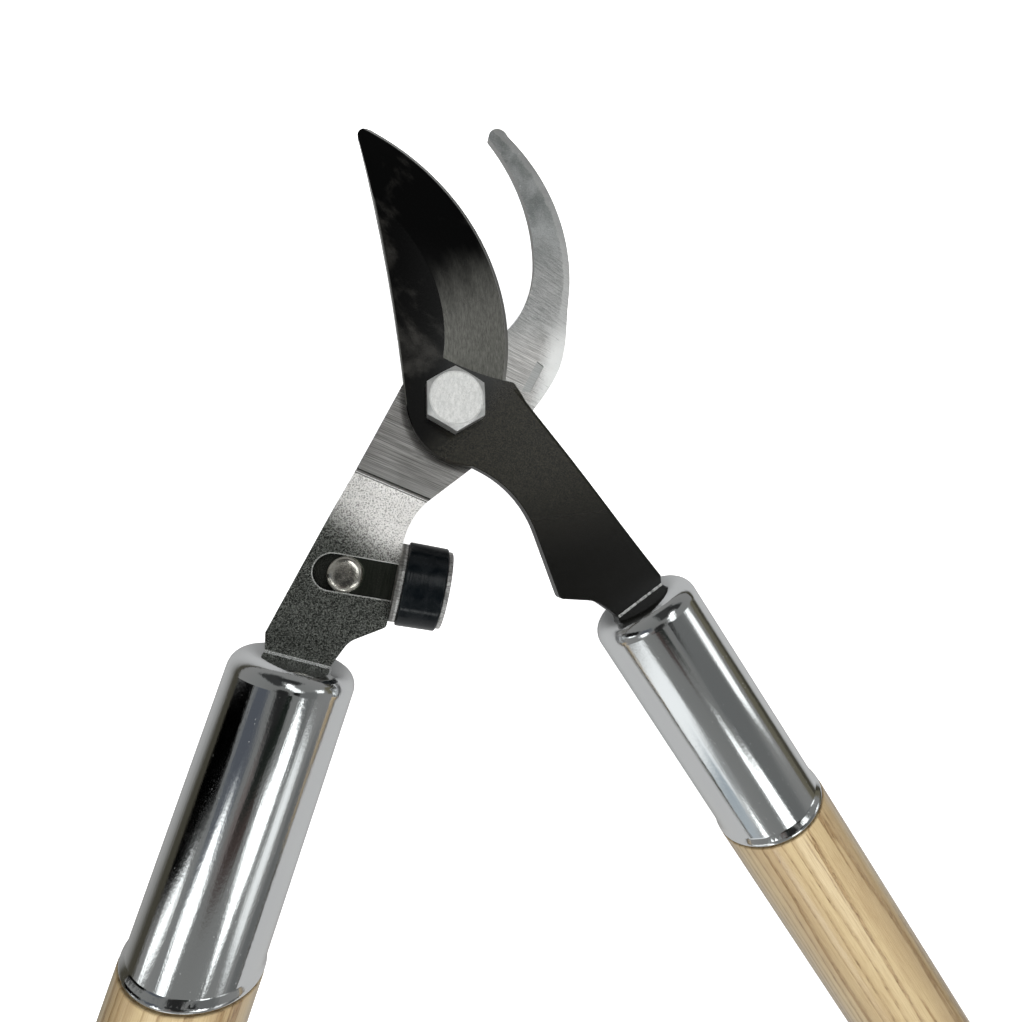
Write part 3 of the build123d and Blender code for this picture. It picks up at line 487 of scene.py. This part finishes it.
def bright_steel():
    """The bumper's stem: a milled tongue painted dark, a painted shade, and a bare shank whose end is
    hammered over.
    """
    steel = Finish("bright_steel", Metallic=1.0)
    tongue = steel.step(steel.along(BUMPER_AXIS), TONGUE_END + 0.3, TONGUE_END - 0.3)
    milled = steel.scaled(steel.here, (2.2, 0.1, 1), turn=-BUMPER_ANGLE)
    mill = steel.noise(milled, detail=4, roughness=0.65)
    hammer = steel.cells(steel.scaled(steel.here, (0.5, 0.5, 0.5)))
    # The tongue's colour is painted dark, a painted shade for the dark it reflects.
    flat = steel.mix(steel.step(mill, 0.3, 0.7), (0.07, 0.085, 0.066), (0.16, 0.17, 0.145))
    shank = steel.mix(steel.step(mill, 0.35, 0.7), (0.44, 0.42, 0.40), (0.72, 0.70, 0.67))
    steel.set(
        Base_Color=steel.mix(tongue, shank, flat),
        Roughness=steel.blend(tongue, 0.42, 0.24),
        Normal=steel.bump(steel.blend(tongue, hammer, steel.times(mill, 0.25)), 0.00025, 0.45),
    )
    return steel.material


def nickel_rivet():
    """Nickel-plated dome: nearly polished, with darker blots and a slight dimpling."""
    nickel = Finish("nickel_rivet", Metallic=1.0)
    blots = nickel.noise(nickel.scaled(nickel.here, (0.45, 0.45, 0.45)), detail=4, roughness=0.6)
    fine = nickel.noise(nickel.scaled(nickel.here, (2.0, 2.0, 2.0)), detail=3)
    nickel.set(
        Base_Color=nickel.mix(nickel.step(blots, 0.35, 0.7), (0.95, 0.92, 0.85), (0.80, 0.76, 0.68)),
        Roughness=nickel.blend(nickel.step(blots, 0.35, 0.7), 0.14, 0.28),
        Normal=nickel.bump(nickel.math("ADD", fine, blots), 0.0002, 0.22),
    )
    return nickel.material


# ---------------------------------------------------------------- rubber and nylon
def black_rubber():
    """Turned rubber ring: blue-black, smooth, with faint lathe rings and dust."""
    rubber = Finish("black_rubber", Specular_IOR_Level=0.22, IOR=1.5)
    rings = rubber.noise(rubber.scaled(rubber.here, (2.2, 0.05, 0.05), turn=-BUMPER_ANGLE), detail=3)
    smudges = rubber.scaled(rubber.here, (0.3, 0.3, 0.3))
    scuff = rubber.noise(smudges, detail=5, roughness=0.6, distortion=0.5)
    dust = rubber.step(scuff, 0.35, 0.72)
    rubber.set(
        Base_Color=rubber.mix(dust, (0.0022, 0.0034, 0.0045), (0.0075, 0.009, 0.0103)),
        Roughness=rubber.blend(rubber.step(scuff, 0.35, 0.7), 0.12, 0.24),
        Normal=rubber.bump(rubber.math("ADD", rings, rubber.times(scuff, 0.6)), 0.00016, 0.35),
    )
    return rubber.material


def nylon():
    """The nut's locking ring: slightly waxy, with a turned grain."""
    ring = Finish("nylon", IOR=1.53)
    grain = ring.noise(ring.scaled(ring.here, (1.4, 1.4, 1.4)), detail=3)
    ring.set(
        Base_Color=ring.mix(grain, (0.12, 0.17, 0.42), (0.19, 0.25, 0.54)),
        Roughness=ring.blend(grain, 0.38, 0.55),
        Normal=ring.bump(grain, 0.0001, 0.3),
    )
    return ring.material


for side, (sign, offset, seed) in HANDLES.items():
    turn = -sign * HALF_SPREAD
    wear(f"handle_{side}", ash(side, turn, offset, seed))
    wear(f"ferrule_{side}", ferrule_chrome(side, turn))
wear("hook_lever", ground_steel())
wear("blade_lever", black_steel())
bolt_zinc = zinc_bolt()
wear("pivot_bolt", bolt_zinc)
wear("lock_nut", bolt_zinc)
washer_zinc = zinc_washer()
for name in ("pivot_washer", "bumper_base_washer", "bumper_end_washer"):
    wear(name, washer_zinc)
wear("bumper_stem", bright_steel())
wear("bumper_rivet", nickel_rivet())
wear("bumper_rubber", black_rubber())
wear("nut_insert", nylon())


# ---------------------------------------------------------------- floor
bpy.ops.mesh.primitive_plane_add(size=8.0, location=(0, 0, -0.0004))
floor = bpy.context.object
floor.name = "floor"
# Most of it is nearly white to the camera. In reflections it is grey near the tool and dark far to
# its sides, as a table with a dark room around it would be.
paper = bpy.data.materials.new("paper")
paper.use_nodes = True
sheet = Shader(paper.node_tree)
matte = sheet.tree.nodes["Principled BSDF"]
matte.inputs["Roughness"].default_value = 0.9
matte.inputs["Specular IOR Level"].default_value = 0.0
ray = sheet.node("ShaderNodeLightPath")
spot = sheet.node("ShaderNodeSeparateXYZ")
sheet.put(spot.inputs[0], sheet.node("ShaderNodeTexCoord").outputs["Object"])
across = spot.outputs[0]
near = sheet.times(sheet.step(across, -0.22, -0.05), sheet.step(across, 0.32, 0.17))
bounced = sheet.mix(near, (0.045, 0.042, 0.032), (0.40, 0.40, 0.40))
seen = ray.outputs["Is Camera Ray"]
sheet.put(matte.inputs["Base Color"], sheet.mix(seen, bounced, (0.97, 0.97, 0.965)))
matte.inputs["Emission Color"].default_value = (1, 1, 1, 1)
sheet.put(matte.inputs["Emission Strength"], sheet.times(seen, 0.8))
floor.data.materials.append(paper)


# ---------------------------------------------------------------- light
# Panels that the dome carries, each laid over those before it: colour, its middle's azimuth and
# height in degrees, half its width and height, the softness of its edge, and its brightness.
PANELS = [
    (GREY, (-30, 49), (26, 15), 6, 0.145),
    ((0.86, 0.95, 1.12), (-168, 50), (18, 11), 5, 0.10),
    ((1.0, 0.86, 0.82), (-131, 63), (7, 5), 3, 0.15),
    ((1.0, 0.93, 0.68), (-3, 4), (14, 8), 3, 0.13),
    (GREY, (-4, 26), (7, 6), 2.5, 1.4),
    ((0.97, 1.0, 1.0), (-122, 16), (9, 17), 3, 1.0),
    ((0.88, 1.0, 1.08), (-116, 9), (3.5, 9), 2.5, 0.42),
    (GREY, (-113, 29), (4, 7), 3, 0.3),
    (GREY, (-104, 22), (6, 3), 2, 3.5),
    (GREY, (-152, 46), (9, 6.5), 3.5, 2.2),
    (GREY, (-169.5, 19), (2.6, 8), 1.6, 1.6),
    (GREY, (-66.5, 47), (12.5, 6.5), 2.5, 2.3),
    (GREY, (-76, 53), (5, 3.5), 2.5, 1.6),
    (GREY, (-57, 25), (9, 6), 3, 0.95),
    (GREY, (-56, 6), (11, 6), 4, 0.14),
    ((1.0, 0.72, 0.66), (-108, 61), (17, 3.6), 2.5, 0.055),
    ((0.7, 1.0, 0.8), (-98, 68), (24, 5), 2.5, 0.012),
    (GREY, (-181.5, 13), (9, 22), 2, 0.0),
    (GREY, (96, 45), (20, 24), 5, 0.04),
    (GREY, (62, 38), (22, 9), 4, 0.03),
    (GREY, (-29, 69), (16, 6), 3, 0.01),
    (GREY, (26, 67), (38, 7.5), 4, 1.45),
]

# Round spots laid last: brightness, azimuth and height, full out to an angle, and gone at another.
SPOTS = [
    (2.0, (56, 59), 4, 8.5),
    (0.02, (-130, 80), 8, 15),
]

# The plain ceiling below them, from the horizon to straight up.
CEILING = [(0.0, (0.24, 0.24, 0.235)), (0.5, (0.20, 0.205, 0.2)), (1.0, (0.17, 0.17, 0.165))]


def studio():
    """Soft dome of a plain studio: a dim ceiling with light and dark panels, white to the camera."""
    world = bpy.data.worlds.new("studio")
    world.use_nodes = True
    scene.world = world
    sky = Shader(world.node_tree)
    sky.tree.nodes.clear()
    place = sky.node("ShaderNodeTexCoord")
    direction = sky.vector("NORMALIZE", place.outputs["Generated"])
    parts = sky.node("ShaderNodeSeparateXYZ")
    sky.put(parts.inputs[0], direction)
    x, y, z = parts.outputs
    azimuth = sky.math("DEGREES", sky.math("ARCTAN2", y, x))
    height = sky.math("DEGREES", sky.math("ARCSINE", z))

    light = sky.ramp(sky.math("DIVIDE", height, 90.0, clamp=True), CEILING)
    for colour, (middle_azimuth, middle_height), (half_width, half_height), soft, value in PANELS:
        away = sky.math("WRAP", sky.math("SUBTRACT", azimuth, middle_azimuth), 180.0, -180.0)
        away = sky.math("ABSOLUTE", away)
        rise = sky.math("ABSOLUTE", sky.math("SUBTRACT", height, middle_height))
        wide = sky.step(away, half_width + soft, half_width - soft)
        tall = sky.step(rise, half_height + soft, half_height - soft)
        light = sky.mix(sky.times(wide, tall), light, tuple(value * part for part in colour))
    for value, (middle_azimuth, middle_height), inner, outer in SPOTS:
        flat = cos(radians(middle_height))
        x, y, _ = heading(middle_azimuth)
        centre = (x * flat, y * flat, sin(radians(middle_height)))
        nearness = sky.vector("DOT_PRODUCT", direction, centre)
        share = sky.step(nearness, cos(radians(outer)), cos(radians(inner)))
        light = sky.mix(share, light, (value, value, value))

    ray = sky.node("ShaderNodeLightPath")
    light = sky.mix(ray.outputs["Is Camera Ray"], light, (1.0, 1.0, 1.0))
    background = sky.node("ShaderNodeBackground")
    sky.put(background.inputs["Color"], light)
    output = sky.node("ShaderNodeOutputWorld")
    sky.put(output.inputs["Surface"], background.outputs[0])


studio()


# A large square lamp overhead lights the matt surfaces and stays out of reflections.
KEY_AIM = Vector((0, 0.05, 0))
key_data = bpy.data.lights.new("key", "AREA")
key_data.shape = "SQUARE"
key_data.size = 3.6
key_data.energy = 94.0
key = bpy.data.objects.new("key", key_data)
scene.collection.objects.link(key)
key.location = (-0.15, -0.3, 2.2)
key.rotation_euler = (KEY_AIM - key.location).to_track_quat("-Z", "Y").to_euler()
key.visible_glossy = False

# ---------------------------------------------------------------- camera
# A wide lens close above the head, its position and turns given about the pivot.
CAMERA_PLACE = Vector((-0.0228, -0.0354, 0.16467))
CAMERA_TURNS = ((0.14, "Z"), (12.24, "Y"), (-2.48, "X"), (7.545, "Z"))
turns = Matrix.Identity(3)
for degrees, axis in CAMERA_TURNS:
    turns = turns @ Matrix.Rotation(radians(degrees), 3, axis)
camera_data = bpy.data.cameras.new("camera")
camera_data.sensor_width = 36.0
camera_data.lens = 19.69
camera_data.clip_start = 0.01
camera = bpy.data.objects.new("camera", camera_data)
scene.collection.objects.link(camera)
camera.matrix_world = Matrix.Translation(pivot + CAMERA_PLACE) @ turns.transposed().to_4x4()
scene.camera = camera
scene.view_settings.view_transform = "Standard"
